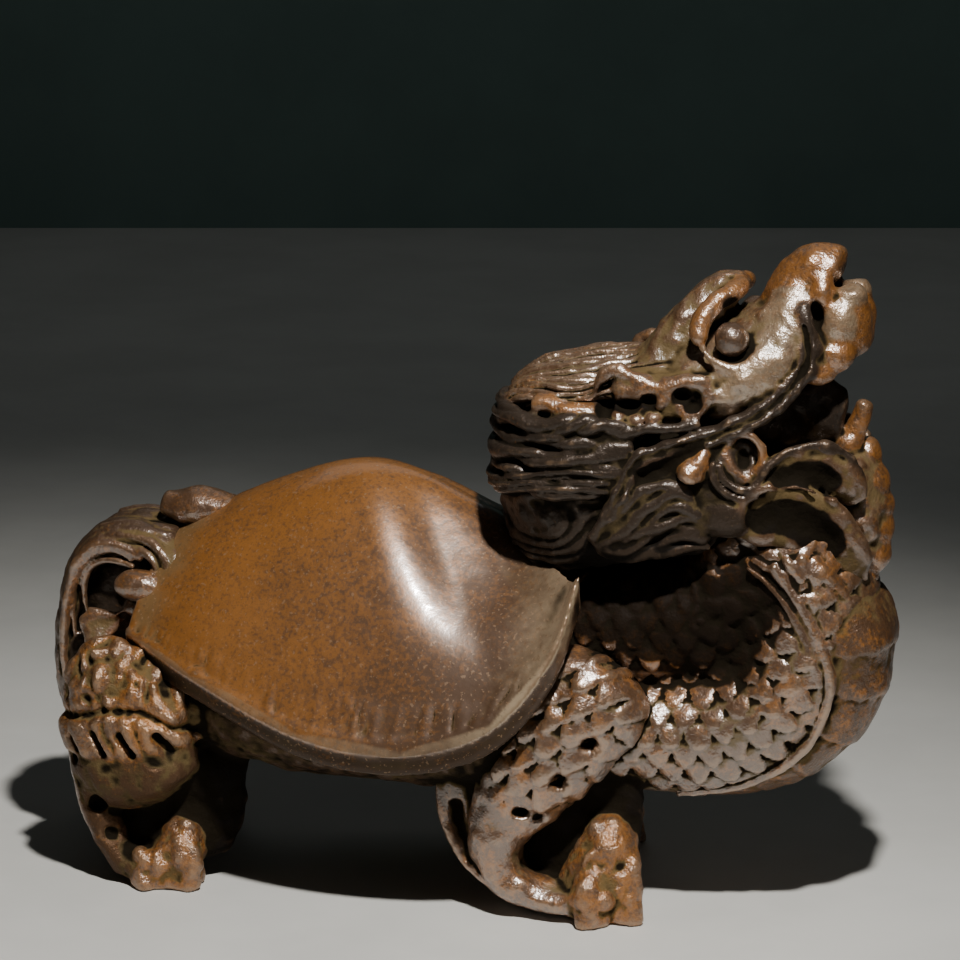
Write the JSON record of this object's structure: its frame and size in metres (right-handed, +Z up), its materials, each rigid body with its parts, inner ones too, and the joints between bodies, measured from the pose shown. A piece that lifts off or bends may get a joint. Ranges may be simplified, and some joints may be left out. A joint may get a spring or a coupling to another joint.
{
  "type": "dragon turtle figure",
  "caption": "Small cast bronze figure of a dragon turtle: smooth domed shell, bent legs, scaled neck, raised dragon's head with an open mouth, and a curled tail.",
  "frame": {"origin": "on the floor under the paws, below the middle of the figure's length and width", "axes": "+X from the tail towards the head, +Y towards the turtle's left, +Z up"},
  "size_m": [0.074, 0.033, 0.0562],
  "materials": {
    "bronze": "brown patina, rubbed bright on the high places"
  },
  "bodies": {
    "root": {"dragon_turtle": "bronze"}
  },
  "joints": []
}
